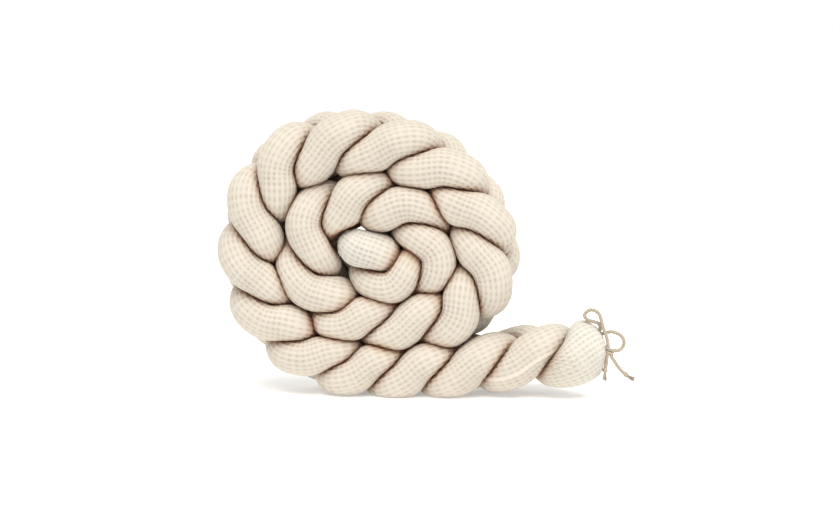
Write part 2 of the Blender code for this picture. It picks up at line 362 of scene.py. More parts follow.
def distance_to(points, line):
    squared = (points**2).sum(1)[:, None] + (line**2).sum(1)[None, :] - 2 * points @ line.T
    return np.sqrt(np.maximum(squared.min(1), 0))


def press_limit(centre, directions, mine, others):
    """How far out each direction may go before it is nearer to a neighbour than to its own strand."""
    reach = np.linspace(SMALLEST_RADIUS, LARGEST_RADIUS, PRESS_SAMPLES)
    points = (centre + directions[:, None, :] * reach[None, :, None]).reshape(-1, 3)
    room = distance_to(points, others) - distance_to(points, mine) - STRAND_GAP
    room = room.reshape(len(directions), -1)
    limit = np.full(len(directions), LARGEST_RADIUS)
    for j in np.flatnonzero(room.min(1) < 0):
        row = room[j]
        k = int(np.argmax(row < 0))
        limit[j] = reach[0] if k == 0 else np.interp(0, (row[k], row[k - 1]), (reach[k], reach[k - 1]))
    return limit


def softened(limit, radius):
    return (limit**-FIRMNESS + radius**-FIRMNESS) ** (-1 / FIRMNESS)


def press_grid(strand, stops, crossing, whole, lines):
    """Radii of the pressed tube on a grid of rings and directions, and how hard each spot is pressed."""
    centres = strand_line(strand, crossing)
    _, side, up = ring_frames(strand, crossing)
    angles = np.arange(PRESS_SIDES) * 2 * math.pi / PRESS_SIDES
    own_crossing, own = lines[strand]
    rest = np.concatenate([line for k, (_, line) in enumerate(lines) if k != strand])
    limits = []
    for k, centre in enumerate(centres):
        directions = np.cos(angles)[:, None] * side[k] + np.sin(angles)[:, None] * up[k]
        apart = np.abs(own_crossing - crossing[k])
        others = np.concatenate([rest, own[apart > OWN_TURN]])
        others = others[np.linalg.norm(others - centre, axis=1) < NEIGHBOURHOOD]
        limits.append(press_limit(centre, directions, own[apart < OWN_TURN], others))
    plump = np.ones(len(crossing))
    if strand == 0:
        plump += END_PLUMPNESS * np.exp(-(((crossing + 0.1) / END_PLUMP_REACH) ** 2))
    limits = blur(np.minimum(np.array(limits), WIDEST_LIMIT * plump[:, None]), 2)
    into_cap = np.clip(1 - np.minimum(stops, whole - stops) / CAP_LENGTH, 0, 1)
    radius = np.maximum(TUBE_RADIUS * FILLING_OUT * plump * np.sqrt(1 - into_cap**2), 0.2 * MM)
    low, high = 0.9 * radius, SWELL * radius
    for _ in range(24):
        middle = (low + high) / 2
        full = (softened(limits, middle[:, None]) ** 2).mean(1) > radius**2
        high = np.where(full, middle, high)
        low = np.where(full, low, middle)
    swollen = blur(((low + high) / 2 / radius)[:, None], 6, around=False)[:, 0] * radius
    radii = softened(limits, swollen[:, None])
    return radii, 1 - radii / np.maximum(swollen[:, None], SMALLEST_RADIUS)


def resampled(grid, rows, angles):
    """Values of a coarse grid at fractional rows, one for each fine ring, and at each ring's angles."""
    k = np.clip(np.floor(rows).astype(int), 0, len(grid) - 2)
    t = (rows - k)[:, None]
    place = angles / (2 * math.pi) * PRESS_SIDES
    j = np.floor(place).astype(int)
    s = place - j
    j0, j1, j2, j3 = [(j + d) % PRESS_SIDES for d in (-1, 0, 1, 2)]

    def across(ring):
        a, b, c, d = [ring[np.arange(len(ring))[:, None], x] for x in (j0, j1, j2, j3)]
        return b + 0.5 * s * (c - a + s * (2 * a - 5 * b + 4 * c - d + s * (3 * (b - c) + d - a)))

    return across(grid[k]) * (1 - t) + across(grid[k + 1]) * t


# ---------------------------------------------------------------- cloth


def drifting(points, scale, shift):
    """Smooth noise from -1 to 1 at each point of a coarse sample, the same each run."""
    return np.array([noise.noise(Vector(p) / scale + Vector(shift)) for p in points])


def coarse_noise(points, scale, shift, step=6):
    """Smooth noise on the fine grid, worked out on every sixth ring and third column and spread between."""
    rings, columns = points.shape[:2]
    rows = np.unique(np.append(np.arange(0, rings, step), rings - 1))
    cols = np.arange(0, columns, 3)
    sample = drifting(points[rows][:, cols].reshape(-1, 3), scale, shift).reshape(len(rows), len(cols))
    closed = np.append(cols, columns)
    wide = np.array([np.interp(np.arange(columns), closed, np.append(row, row[0])) for row in sample])
    return np.stack([np.interp(np.arange(rings), rows, wide[:, j]) for j in range(columns)], axis=1)


def grid_normals(points):
    around = np.roll(points, -1, 1) - np.roll(points, 1, 1)
    along = np.gradient(points, axis=0)
    return unit(np.cross(around, along) + 1e-15), unit(along + 1e-15), unit(around + 1e-15)


def weave_places(strand, rows, columns, crossing):
    """Where each corner lies in the weave, in cells along and round, and whether it lies in a pit.

    The first strand's end lobe is half as big again, so there each cell takes two corners instead of three.
    """
    k, j = np.arange(len(rows)), np.arange(len(columns))
    v = np.repeat(rows[:, None], len(columns), axis=1)
    u = np.repeat(columns[None, :], len(rows), axis=0)
    low_row = np.repeat((rows % 1 > 0.01)[:, None], len(columns), axis=1)
    low_column = np.repeat((columns % 1 > 0.01)[None, :], len(rows), axis=0)
    if strand == 0:
        full = crossing < FULL_END
        last = k[full][-1]
        v[full] = (rows[last] + (k[full] - last) / 2)[:, None]
        u[full] = j[None, :] / 2
        low_row[full] = (k[full] % 2 == 1)[:, None]
        low_column[full] = (j % 2 == 1)[None, :]
    return v, u, low_row.astype(float), low_column.astype(float)


def weave_relief(in_row, in_column):
    """Depth of the weave at each corner: 0 on the ridges' crossings, 1 on the floor of a pit."""
    along_ridge, across_ridge = in_row * (1 - in_column), in_column * (1 - in_row)
    return LENGTHWISE_DIP * along_ridge + CROSSWISE_DIP * across_ridge + in_row * in_column


def seam_angle(strand, crossing):
    at_tail, further = SEAM_ANGLES[strand]
    return np.radians(at_tail + (further - at_tail) * smoothstep(*SEAM_TURN, crossing))


def cloth_grid(strand, lines):
    """The strand's fine skin: points, places in the weave, the tips that close its ends, and the masks of
    its painted crease shade and painted seam highlight.
    """
    rows, stops, crossing, whole = ring_rows(strand)
    columns = cell_lattice(CELLS_ROUND[strand])
    coarse = np.unique(np.append(np.arange(0, len(rows), 2), len(rows) - 1))
    radii, pressed = press_grid(strand, stops[coarse], crossing[coarse], whole, lines)

    angles = columns / CELLS_ROUND[strand] * 2 * math.pi + seam_angle(strand, crossing)[:, None]
    fine_rows = np.interp(np.arange(len(rows)), coarse, np.arange(len(coarse)))
    radius = blur(resampled(radii, fine_rows, angles), 2)
    pressed = blur(np.clip(resampled(pressed, fine_rows, angles), 0, 1), 1)

    centres = strand_line(strand, crossing)
    along, side, up = ring_frames(strand, crossing)
    spokes = np.cos(angles)[..., None] * side[:, None] + np.sin(angles)[..., None] * up[:, None]
    points = centres[:, None] + spokes * radius[..., None]

    normal, lengthwise, crosswise = grid_normals(points)
    free = 1 - smoothstep(*STILLED, pressed)
    skin = smoothstep(0, 25 * MM, np.minimum(stops, whole - stops))[:, None]
    drift_a = coarse_noise(points, WEAVE_DRIFT_SCALE, (17.0 * strand, 5.0, 2.0))
    drift_b = coarse_noise(points, WEAVE_DRIFT_SCALE, (3.0, 29.0 * strand, 8.0))
    lumps = coarse_noise(points, LUMP_SCALE, (7.0, 1.0, 13.0 * strand))

    # the weave, shallower where the cloth is stretched or pressed
    bend = np.gradient(along, axis=0) / np.gradient(stops)[:, None]
    bend = np.stack([bend[:, a] for a in range(3)], axis=1)
    shortened = np.einsum("ka,kja->kj", bend, spokes) * radius
    from_seam = np.minimum(columns, CELLS_ROUND[strand] - columns) / CELLS_ROUND[strand]
    seam_distance = from_seam * 2 * math.pi * TUBE_RADIUS
    off_seam = smoothstep(SEAM_HALF_WIDTH, 2 * SEAM_HALF_WIDTH, seam_distance)[None, :]
    stretch = 1 - 0.35 * smoothstep(0.1, 0.9, -shortened)
    depth = CELL_DEPTH * (1 - 0.22 * drift_a) * stretch * (0.35 + 0.65 * skin) * off_seam
    v, u, in_row, in_column = weave_places(strand, rows, columns, crossing)
    height = -depth * weave_relief(in_row, in_column)

    # uneven stuffing
    height += LUMP_HEIGHT * (lumps - 0.5) * free * skin

    # creases across the strand on the inside of its bends
    crease = smoothstep(WRINKLE_FROM, WRINKLE_TO, shortened)
    ripple = 0.5 + 0.5 * np.sin(2 * math.pi * stops[:, None] / WRINKLE_LENGTH + 5 * drift_b + 3 * lumps)
    height -= WRINKLE_HEIGHT * crease * ripple**2

    # lengthwise gathers where the ends are drawn in
    gather = np.exp(-np.minimum(stops, whole - stops) / GATHER_REACH)[:, None]
    fold = 0.5 + 0.5 * np.cos(GATHER_FOLDS * angles + 2.5 * drift_a)
    height -= GATHER_HEIGHT * gather * fold

    # the lengthwise seam and its puckers
    seam = np.clip(1 - (seam_distance / SEAM_HALF_WIDTH) ** 2, 0, 1)[None, :]
    near = np.exp(-((seam_distance / PUCKER_REACH) ** 2))[None, :]
    pucker = (0.5 + 0.5 * np.cos(2 * math.pi * stops[:, None] / PUCKER_STEP + 2 * drift_b)) ** 2
    height += SEAM_HEIGHT * seam * free - PUCKER_DEPTH * near * pucker * (1 - seam) * off_seam

    points = points + normal * height[..., None]
    loose = (free * skin)[..., None]
    drift = lengthwise * drift_b[..., None] + crosswise * drift_a[..., None]
    points = points + loose * WEAVE_DRIFT * drift
    points[..., 2] = settled(points[..., 2])
    tips = strand_line(strand, np.array(STRAND_ENDS[strand]))
    # painted shade: the cloth's colour darkens where strands press together in creases
    clear_of_end = smoothstep(*SHADE_CLEAR, np.minimum(stops, whole - stops))[:, None]
    painted_crease_shade = np.append((smoothstep(*CREASE_SHADE, pressed) * clear_of_end).ravel(), (0, 0))
    # painted highlight: the cloth is paler along the seam ridge
    seam_highlight = smoothstep(*SEAM_HIGHLIGHT, seam_distance / SEAM_HALF_WIDTH)
    painted_seam_highlight = np.append(np.tile(seam_highlight, len(rows)), (0, 0))
    return points, v, u, tips, {"crease": painted_crease_shade, "seam": painted_seam_highlight}


def settled(height):
    """Heights above the floor: those near it ease down onto it, and none is below it."""
    low = FLOOR_EASE * np.exp(np.minimum(height / FLOOR_EASE - 1, 0))
    return np.where(height < FLOOR_EASE, low, height)


def tube_mesh(name, points, tips, v, u):
    """A closed mesh from a grid of rings and two tips. v and u on that grid give its UV map, weave."""
    rings, count = points.shape[:2]
    first, last = rings * count, rings * count + 1
    corners = np.concatenate([points.reshape(-1, 3), tips])
    j = np.arange(count)
    j2 = (j + 1) % count
    ring = np.arange(rings - 1)[:, None] * count
    here, after = (ring + j).ravel(), (ring + j2).ravel()
    quads = np.stack([here, after, after + count, here + count], axis=1)
    end = (rings - 1) * count
    start_fan = np.stack([np.full(count, first), j2, j], axis=1)
    end_fan = np.stack([np.full(count, last), end + j, end + j2], axis=1)
    mesh = bpy.data.meshes.new(name)
    mesh.from_pydata(corners.tolist(), [], quads.tolist() + start_fan.tolist() + end_fan.tolist())

    # the column past the last one closes the tube at one whole turn of the weave
    u = np.concatenate([u, (2 * u[:, -1:] - u[:, -2:-1])], axis=1)
    v = np.concatenate([v, v[:, :1]], axis=1)
    low, high = slice(None, -1), slice(1, None)
    turns = ((low, low), (low, high), (high, high), (high, low))
    quad_uv = np.stack([np.stack([u[at].ravel(), v[at].ravel()], axis=1) for at in turns], axis=1)
    quad_uv = quad_uv.reshape(-1, 2)
    fans = []
    for k, (a, b), step in ((0, (1, 0), -1), (-1, (0, 1), 1)):
        left, right = u[k, a : a + count], u[k, b : b + count]
        tip = (u[k, :-1] + u[k, 1:]) / 2
        level = np.full(count, v[k, 0])
        fans.append(np.stack([tip, level + step, left, level, right, level], axis=1).reshape(-1, 2))
    layer = mesh.uv_layers.new(name="weave")
    layer.data.foreach_set("uv", np.concatenate([quad_uv, *fans]).astype(np.float32).ravel())
    mesh.shade_smooth()
    mesh.update()
    return mesh


def add_piece(name, mesh, material):
    mesh.materials.clear()
    mesh.materials.append(material)
    piece = bpy.data.objects.new(name, mesh)
    bpy.context.scene.collection.objects.link(piece)
    return piece


# ---------------------------------------------------------------- materials


def linear(hex_colour):
    """An sRGB hex colour as linear RGBA."""
    parts = [int(hex_colour[k : k + 2], 16) / 255 for k in (1, 3, 5)]
    return (*[c / 12.92 if c <= 0.04045 else ((c + 0.055) / 1.055) ** 2.4 for c in parts], 1.0)


def add_node(tree, kind, inputs=(), **settings):
    """One node with its settings and its inputs, by place or by name, each a value, a socket or a node.

    A node given as an input stands for its first output.
    """
    node = tree.nodes.new(kind)
    for key, value in settings.items():
        setattr(node, key, value)
    for key, value in inputs.items() if isinstance(inputs, dict) else enumerate(inputs):
        if isinstance(value, bpy.types.Node):
            value = value.outputs[0]
        if isinstance(value, bpy.types.NodeSocket):
            tree.links.new(value, node.inputs[key])
        else:
            node.inputs[key].default_value = value
    return node

def layered(tree, colour, layers):
    """A hex colour with others laid over it in turn, each by its own factor; gives the result's socket."""
    colour = linear(colour)
    for factor, over in layers:
        inputs = {"Factor": factor, 6: colour, 7: linear(over)}
        colour = add_node(tree, "ShaderNodeMix", inputs, data_type="RGBA").outputs[2]
    return colour

def new_material(name, roughness, sheen=0.0, sheen_roughness=0.5, specular=0.5):
    material = bpy.data.materials.new(name)
    material.use_nodes = True
    shader = material.node_tree.nodes["Principled BSDF"]
    shader.inputs["Roughness"].default_value = roughness
    shader.inputs["Specular IOR Level"].default_value = specular
    shader.inputs["Sheen Weight"].default_value = sheen
    shader.inputs["Sheen Roughness"].default_value = sheen_roughness
    return material, material.node_tree, shader

def waffle_cotton():
    """Undyed waffle-woven cotton, matte and soft, with painted shade and light in its colour: the pits a
    little darker and warmer than the ridges, the cloth tan and then brown where strands press together in
    creases, darker along the pleats, and paler along the seam as a painted highlight.
    """
    material, tree, shader = new_material(
        "undyed waffle cotton", 0.92, sheen=0.18, sheen_roughness=0.45, specular=0.25
    )
    shader.inputs["Sheen Tint"].default_value = linear("#FFF6E6")
    # light goes a few millimetres into the cloth and its white filling
    shader.inputs["Subsurface Weight"].default_value = 0.18
    shader.inputs["Subsurface Radius"].default_value = (1.0, 0.82, 0.66)
    shader.inputs["Subsurface Scale"].default_value = 5 * MM
    weave = add_node(tree, "ShaderNodeUVMap", uv_map="weave")
    parts = add_node(tree, "ShaderNodeSeparateXYZ", (weave,))
    place = add_node(tree, "ShaderNodeTexCoord").outputs["Object"]

    # a pit in the middle of each cell, and the yarns one by one
    hollows, yarns = [], []
    for way in (parts.outputs[0], parts.outputs[1]):
        turn = add_node(tree, "ShaderNodeMath", (way, 2 * math.pi), operation="MULTIPLY")
        wave = add_node(tree, "ShaderNodeMath", (turn,), operation="COSINE")
        hollows.append(add_node(tree, "ShaderNodeMath", (wave, -0.5, 0.5), operation="MULTIPLY_ADD"))
        turn = add_node(tree, "ShaderNodeMath", (way, YARNS * math.pi), operation="MULTIPLY")
        wave = add_node(tree, "ShaderNodeMath", (turn,), operation="SINE")
        yarns.append(add_node(tree, "ShaderNodeMath", (wave,), operation="ABSOLUTE"))
    yarn = add_node(tree, "ShaderNodeMath", yarns, operation="MAXIMUM")

    # the ridges between the pits of a row along the strand are low, so the pits' painted shade partly covers
    # them too
    along = add_node(tree, "ShaderNodeMath", (hollows[1], 0.68, 0.32), operation="MULTIPLY_ADD")
    pit = add_node(tree, "ShaderNodeMath", (hollows[0], along), operation="MULTIPLY")
    pit = add_node(tree, "ShaderNodeMath", (pit, 1.1), operation="POWER")
    uneven = add_node(tree, "ShaderNodeTexNoise", {
        "Vector": weave, "Scale": 0.55, "Detail": 2.0, "Roughness": 0.6,
    })
    uneven = add_node(tree, "ShaderNodeMath", (uneven, 2.2, -0.1), operation="MULTIPLY_ADD")
    pit = add_node(tree, "ShaderNodeMath", (pit, uneven), operation="MULTIPLY", use_clamp=True)

    cloud = add_node(tree, "ShaderNodeTexNoise", {"Vector": place, "Scale": 14.0, "Detail": 3.0})
    fleck = add_node(tree, "ShaderNodeTexNoise", {
        "Vector": place, "Scale": 420.0, "Detail": 3.0, "Roughness": 0.6,
    })
    stretched = add_node(tree, "ShaderNodeMapping", {"Vector": weave, "Scale": (0.35, 7.0, 1.0)})
    slub = add_node(tree, "ShaderNodeTexNoise", {"Vector": stretched, "Scale": 1.0, "Detail": 2.0})
    shade = add_node(tree, "ShaderNodeMath", (slub, 0.5, -0.13), operation="MULTIPLY_ADD")
    shade = add_node(tree, "ShaderNodeMath", (fleck, 0.16, shade), operation="MULTIPLY_ADD", use_clamp=True)
    # painted highlight along the seam ridge
    seam = add_node(tree, "ShaderNodeAttribute", attribute_name="seam").outputs["Fac"]
    # painted shade where strands press together: tan near the creases, brown in them
    crease = add_node(tree, "ShaderNodeAttribute", attribute_name="crease").outputs["Fac"]
    crease_tan_shade = add_node(tree, "ShaderNodeMath", (crease, 0.8), operation="POWER")
    crease_brown_shade = add_node(tree, "ShaderNodeMath", (crease, 1.8), operation="POWER")
    pleat_shade_and_bump = pleats(tree, place)

    layers = [(cloud, "#D0CEC7"), (shade, "#B7AFA1")]
    for factor, amount, colour in (
        # darker, warmer pits: painted shade in the recesses of the weave
        (pit, 0.42, "#938979"),
        # paler along the seam: painted highlight
        (seam, 0.5, "#E3DED6"),
        # tan, then brown: painted shade in the creases where strands press together
        (crease_tan_shade, 0.5, "#BE9052"),
        (crease_brown_shade, 0.85, "#7A3C0C"),
        # darker along the pleats: painted shade in their hollows, on top of their bump
        (pleat_shade_and_bump, 0.42, "#84705A"),
    ):
        amount = add_node(tree, "ShaderNodeMath", (factor, amount), operation="MULTIPLY", use_clamp=True)
        layers.append((amount, colour))
    tree.links.new(layered(tree, "#DAD9D3", layers), shader.inputs["Base Color"])

    relief = add_node(tree, "ShaderNodeMath", (yarn, 0.5), operation="MULTIPLY")
    for height, amount in ((pleat_shade_and_bump, -4.0), (fleck, 0.9), (pit, -0.8)):
        relief = add_node(tree, "ShaderNodeMath", (height, amount, relief), operation="MULTIPLY_ADD")
    bump = add_node(tree, "ShaderNodeBump", {"Height": relief, "Strength": 0.55, "Distance": 0.5 * MM})
    tree.links.new(bump.outputs[0], shader.inputs["Normal"])
    return material

def pleats(tree, place):
    """Fine pleats that fan out over the tail's end lobe from the crease beside it, from 0 to 1; they bump
    the cloth and darken its colour as painted shade in their hollows.
    """
    centre = in_frame(PLEAT_FAN).tolist()
    offset = add_node(tree, "ShaderNodeVectorMath", (place, centre), operation="SUBTRACT")
    parts = add_node(tree, "ShaderNodeSeparateXYZ", (offset,))
    across, up = parts.outputs[0], parts.outputs[2]
    angle = add_node(tree, "ShaderNodeMath", (up, across), operation="ARCTAN2")
    wander = add_node(tree, "ShaderNodeTexNoise", {"Vector": place, "Scale": 45.0, "Detail": 1.0})
    turned = add_node(tree, "ShaderNodeMath", (wander, PLEAT_WANDER), operation="MULTIPLY")
    turned = add_node(tree, "ShaderNodeMath", (angle, PLEATS, turned), operation="MULTIPLY_ADD")
    fold = add_node(tree, "ShaderNodeMath", (turned,), operation="COSINE")
    fold = add_node(tree, "ShaderNodeMath", (fold, 0.5, 0.5), operation="MULTIPLY_ADD")
    fold = add_node(tree, "ShaderNodeMath", (fold, 2.0), operation="POWER")
    squared = add_node(tree, "ShaderNodeMath", (up, up), operation="MULTIPLY")
    squared = add_node(tree, "ShaderNodeMath", (across, across, squared), operation="MULTIPLY_ADD")
    fading = add_node(tree, "ShaderNodeMath", (squared, -1 / PLEAT_REACH**2), operation="MULTIPLY")
    fading = add_node(tree, "ShaderNodeMath", (fading,), operation="EXPONENT")
    for value, (low, high) in ((angle, PLEAT_EDGES[0]), (angle, PLEAT_EDGES[1]), (across, PLEAT_START)):
        side = add_node(tree, "ShaderNodeMapRange", {"Value": value, "From Min": low, "From Max": high})
        fading = add_node(tree, "ShaderNodeMath", (fading, side), operation="MULTIPLY")
    return add_node(tree, "ShaderNodeMath", (fold, fading), operation="MULTIPLY")

def twisted_cotton():
    """Twisted cotton and linen cord: dull, with painted shade darkening the grooves between plies, and fine
    stray fibres.
    """
    material, tree, shader = new_material("twisted cotton cord", 0.88, sheen=0.12, specular=0.3)
    lay = add_node(tree, "ShaderNodeUVMap", uv_map="weave")
    place = add_node(tree, "ShaderNodeTexCoord").outputs["Object"]
    parts = add_node(tree, "ShaderNodeSeparateXYZ", (lay,))
    turn = add_node(tree, "ShaderNodeMath", (parts, math.pi), operation="MULTIPLY")
    crown = add_node(tree, "ShaderNodeMath", (turn,), operation="COSINE")
    crown = add_node(tree, "ShaderNodeMath", (crown,), operation="ABSOLUTE")
    groove_shade = add_node(tree, "ShaderNodeMath", (1.0, crown), operation="SUBTRACT", use_clamp=True)
    groove_shade = add_node(tree, "ShaderNodeMath", (groove_shade, 2.0), operation="POWER")
    groove_shade = add_node(tree, "ShaderNodeMath", (groove_shade, 0.75), operation="MULTIPLY")
    stretched = add_node(tree, "ShaderNodeMapping", {"Vector": lay, "Scale": (9.0, 0.8, 1.0)})
    fibre = add_node(tree, "ShaderNodeTexNoise", {"Vector": stretched, "Scale": 2.0, "Detail": 4.0})
    faint = add_node(tree, "ShaderNodeMath", (fibre, 0.5), operation="MULTIPLY")
    cloud = add_node(tree, "ShaderNodeTexNoise", {"Vector": place, "Scale": 90.0, "Detail": 2.0})
    # the darker grooves between plies are painted shade
    layers = ((cloud, "#AA9D8D"), (faint, "#9C907F"), (groove_shade, "#6C5944"))
    tree.links.new(layered(tree, "#C6BBAD", layers), shader.inputs["Base Color"])
    bump = add_node(tree, "ShaderNodeBump", {"Height": fibre, "Strength": 0.7, "Distance": 0.3 * MM})
    tree.links.new(bump.outputs[0], shader.inputs["Normal"])
    return material

def sewing_thread():
    """Sewing thread with a faint gloss, its brown painted shade for the puckers it pulls into the crease,
    and its twist as fine darker bands of painted shade.
    """
    material, tree, shader = new_material("sewing thread in painted shade", 0.6, sheen=0.1)
    place = add_node(tree, "ShaderNodeTexCoord").outputs["Object"]
    bands = add_node(tree, "ShaderNodeTexWave", {"Vector": place, "Scale": 900.0, "Distortion": 2.0})
    # brown thread and its darker bands: painted shade
    banded = layered(tree, "#A68F6E", ((bands.outputs["Fac"], "#86704F"),))
    tree.links.new(banded, shader.inputs["Base Color"])
    return material

def studio_floor():
    """Matte white studio board lit a little from beneath, with a barely visible mottle."""
    material, tree, shader = new_material("white studio board", 0.8, specular=0.2)
    place = add_node(tree, "ShaderNodeTexCoord").outputs["Object"]
    mottle = add_node(tree, "ShaderNodeTexNoise", {"Vector": place, "Scale": 3.0, "Detail": 2.0})
    tree.links.new(layered(tree, "#FBFBFA", ((mottle, "#F8F8F6"),)), shader.inputs["Base Color"])
    shader.inputs["Emission Color"].default_value = linear("#FFFFFF")
    shader.inputs["Emission Strength"].default_value = 0.28
    return material

# ---------------------------------------------------------------- the strands


def make_strands(cotton):
    lines = [even_line(strand) for strand in range(STRANDS)]
    pieces = []
    for strand in range(STRANDS):
        points, v, u, tips, painted_shade_and_highlight = cloth_grid(strand, lines)
        mesh = tube_mesh(f"waffle_strand_{strand + 1}", points, tips, v, u)
        for label, values in painted_shade_and_highlight.items():
            mesh.attributes.new(label, "FLOAT", "POINT").data.foreach_set("value", values.astype(np.float32))
        piece = add_piece(f"waffle_strand_{strand + 1}", mesh, cotton)
        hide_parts(f"strand_{strand + 1}")
        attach(piece, "root")
        pieces.append(piece)
    return pieces


# ---------------------------------------------------------------- the tie


def sampled(route, step):
    """Evenly spaced points along the smooth curve through a route."""
    curve_at = smooth_curve(route)
    rows = np.linspace(0, len(route) - 1, 1200)
    length = lengths_along(curve_at(rows))
    stops = np.linspace(0, length[-1], max(8, int(length[-1] / step)))
    return curve_at(np.interp(stops, length, rows)), stops


def twisted_tube(name, points, stops, radius, material):
    """A cord of three plies laid round each other along the points, with its plies as its UV map."""
    along = unit(np.gradient(points, axis=0))
    sides, up = untwisted(along)
    turn = np.arange(CORD_SIDES) / CORD_SIDES * 2 * math.pi
    lay = 2 * math.pi * stops[:, None] / PLY_PITCH
    swell = 0.80 + 0.24 * np.abs(np.cos(PLIES / 2 * (turn[None, :] - lay))) ** 0.8
    ends = np.clip(np.minimum(stops, stops[-1] - stops) / radius, 0.15, 1)
    grid = radius * swell * np.sqrt(1 - (1 - ends[:, None]) ** 2 * 0.9)
    spokes = np.cos(turn)[None, :, None] * sides[:, None] + np.sin(turn)[None, :, None] * up[:, None]
    skin = points[:, None] + spokes * grid[..., None]
    tips = np.array([points[0] - along[0] * radius * 0.3, points[-1] + along[-1] * radius * 0.3])
    u = (np.arange(CORD_SIDES) / CORD_SIDES - stops[:, None] / PLY_PITCH) * PLIES
    v = np.repeat(stops[:, None] / (4 * MM), CORD_SIDES, axis=1)
    return add_piece(name, tube_mesh(name, skin, tips, v, u), material)

def make_tie(cord):
    """Two cords sewn into the tail's end lobe and tied in a bow, with a stopper knot on each free end."""
    radius = CORD_DIAMETER / 2
    knot = in_frame(KNOT_CENTRE)
    short_stop, short_way = in_frame(SHORT_TASSEL[0]), unit(np.array(SHORT_TASSEL[1]))
    long_stop, long_way = in_frame(LONG_TASSEL[0]), unit(np.array(LONG_TASSEL[1]))
    eye_route = np.concatenate([
        in_frame(EYE_LOOP),
        [knot + IN_KNOT],
        in_frame(SHORT_END),
        [short_stop + short_way * STOPPER_DEPTH],
    ])
    side_route = np.concatenate([
        in_frame(SIDE_LOOP),
        in_frame(LONG_END),
        [long_stop + long_way * STOPPER_DEPTH],
    ])

    made = {}
    for name, route, nodes in (
        ("tie_cord_left", eye_route, ("tie_eye_loop", "tie_short_end")),
        ("tie_cord_right", side_route, ("tie_side_loop", "tie_long_end")),
    ):
        points, stops = sampled(route, CORD_RING_STEP)
        piece = twisted_tube(name, points, stops, radius, cord)
        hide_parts(*nodes)
        made[name] = (piece, points, stops[-1])

    wrap = make_wrap("tie_bow_knot", knot, cord)
    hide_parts("tie_knot")
    short_knot = make_stopper("tie_stopper_short", short_stop, short_way, cord)
    long_knot = make_stopper("tie_stopper_long", long_stop, long_way, cord)
    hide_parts("tie_short_tassel")
    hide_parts("tie_long_tassel")
    short_fray = make_fray("tie_fray_short", short_stop, short_way, cord, seed=3)
    long_fray = make_fray("tie_fray_long", long_stop, long_way, cord, seed=8)

    cords = [piece for piece, _, _ in made.values()]
    for piece in (*cords, wrap, short_knot, long_knot, short_fray, long_fray):
        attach(piece, "root")
    for name, extra in (
        ("tie_cord_left", (wrap, short_knot, short_fray)),
        ("tie_cord_right", (long_knot, long_fray)),
    ):
        piece, points, length = made[name]

def make_wrap(name, centre, cord):
    """The bow's knot: a turn and a half of cord round the crossing of the loops and ends."""
    turns = 1.6
    t = np.linspace(0, 1, 26)
    angle = 2 * math.pi * turns * t + 2.2
    up = 9.0 * (0.5 - t) - 1.2 * np.cos(angle)
    route = np.stack([5.0 * np.cos(angle), 3.6 * np.sin(angle), up], axis=1) * MM
    points, stops = sampled(centre + route, CORD_RING_STEP)
    return twisted_tube(name, points, stops, 0.42 * CORD_DIAMETER, cord)


def make_stopper(name, top, way, cord):
    """An overhand stopper knot: a tight trefoil of cord across the cord's own direction."""
    t = np.linspace(0, 2 * math.pi, 40)
    trefoil = (np.sin(t) + 2 * np.sin(2 * t), np.cos(t) - 2 * np.cos(2 * t), -1.6 * np.sin(3 * t))
    turned = np.array(Vector(way).to_track_quat("Z", "X").to_matrix())
    route = top + way * STOPPER_DEPTH + (np.stack(trefoil, axis=1) * 0.85 * MM) @ turned.T
    points, stops = sampled(route, CORD_RING_STEP)
    return twisted_tube(name, points, stops, 0.36 * CORD_DIAMETER, cord)


def node_group(name, inputs):
    """An empty geometry tree with a geometry output and the named inputs."""
    tree = bpy.data.node_groups.new(name, "GeometryNodeTree")
    tree.interface.new_socket("Geometry", in_out="INPUT", socket_type="NodeSocketGeometry")
    for label, kind, value in inputs:
        socket = tree.interface.new_socket(label, in_out="INPUT", socket_type=kind)
        if value is not None:
            socket.default_value = value
    tree.interface.new_socket("Geometry", in_out="OUTPUT", socket_type="NodeSocketGeometry")
    return tree, tree.nodes.new("NodeGroupInput"), tree.nodes.new("NodeGroupOutput")


